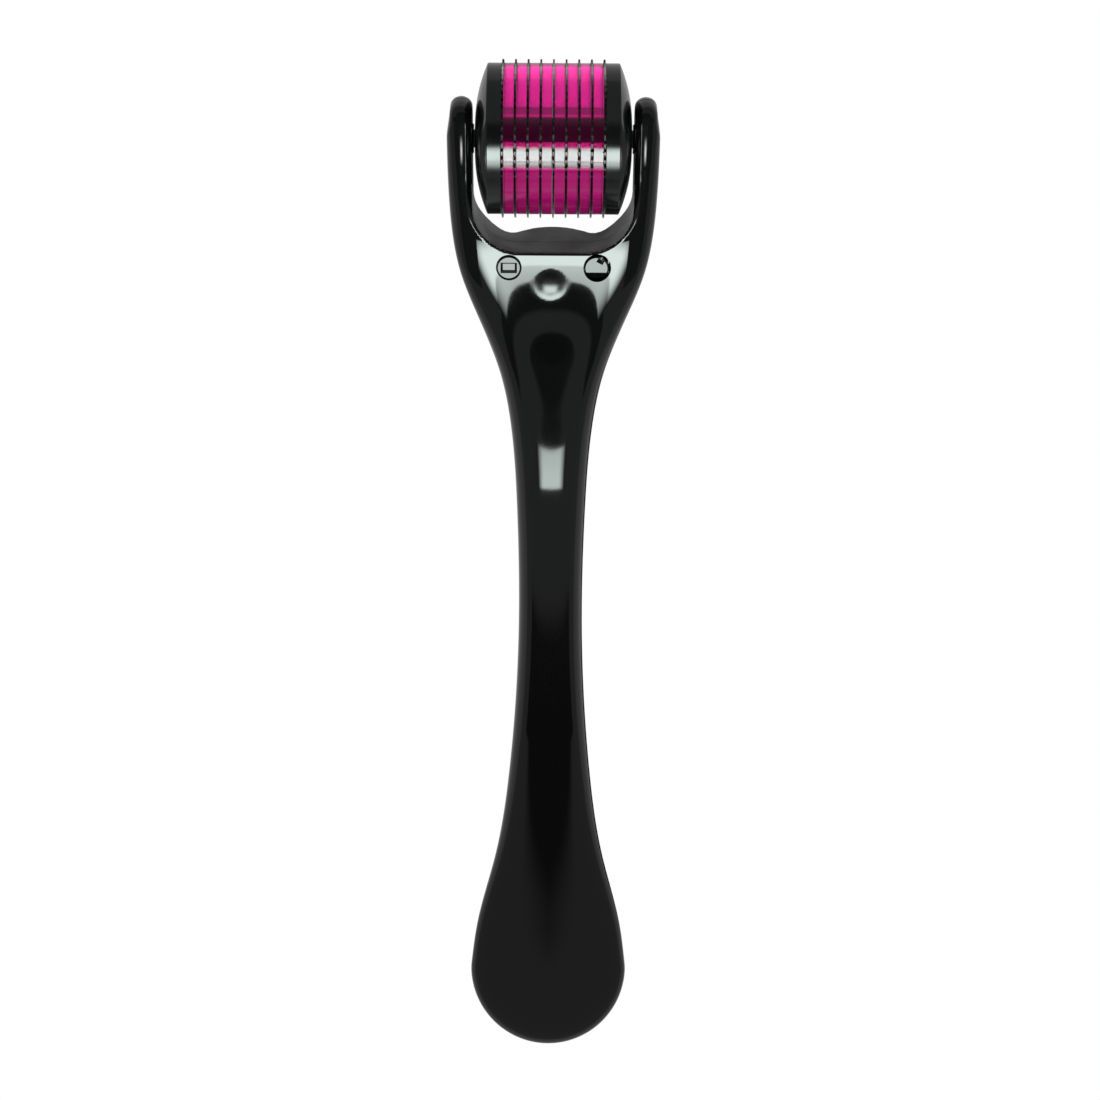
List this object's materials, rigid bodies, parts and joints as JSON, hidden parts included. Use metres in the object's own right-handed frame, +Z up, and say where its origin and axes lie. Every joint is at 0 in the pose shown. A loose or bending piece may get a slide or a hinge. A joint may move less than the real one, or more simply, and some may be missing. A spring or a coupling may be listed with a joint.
{
  "type": "derma roller",
  "caption": "Hand-held needle roller: a drum of toothed steel discs and clear magenta rings spins on an axle in a forked, glossy black two-shell handle.",
  "frame": {"origin": "bottom centre of the whole object's box, lying on its back", "axes": "+Y from the handle's butt to the roller, +X along the roller's axle, +Z up out of the handle's front"},
  "size_m": [0.0298, 0.1386, 0.0254],
  "materials": {
    "handle_plastic": "gloss",
    "pin_plastic": "gloss",
    "cap_plastic": "gloss",
    "ring_plastic": "gloss",
    "core_plastic": "gloss",
    "needle_steel": "satin",
    "axle_steel": "satin"
  },
  "bodies": {
    "handle": {"front_shell": "handle_plastic", "back_shell": "handle_plastic", "lock_pin_left": "pin_plastic", "lock_pin_right": "pin_plastic", "axle_pin": "axle_steel"},
    "roller": {"core_tube": "core_plastic", "needle_disc_1": "needle_steel", "needle_disc_2": "needle_steel", "needle_disc_3": "needle_steel", "needle_disc_4": "needle_steel", "needle_disc_5": "needle_steel", "needle_disc_6": "needle_steel", "needle_disc_7": "needle_steel", "needle_disc_8": "needle_steel", "needle_disc_9": "needle_steel", "spacer_ring_1": "ring_plastic", "spacer_ring_2": "ring_plastic", "spacer_ring_3": "ring_plastic", "spacer_ring_4": "ring_plastic", "spacer_ring_5": "ring_plastic", "spacer_ring_6": "ring_plastic", "spacer_ring_7": "ring_plastic", "spacer_ring_8": "ring_plastic", "end_cap_left": "cap_plastic", "end_cap_right": "cap_plastic"}
  },
  "joints": [
    {"name": "roller_spin", "type": "hinge", "parent": "handle", "child": "roller", "pos_m": [0, 0.0584, 0.0145], "axis": [1, 0, 0], "continuous": true}
  ]
}
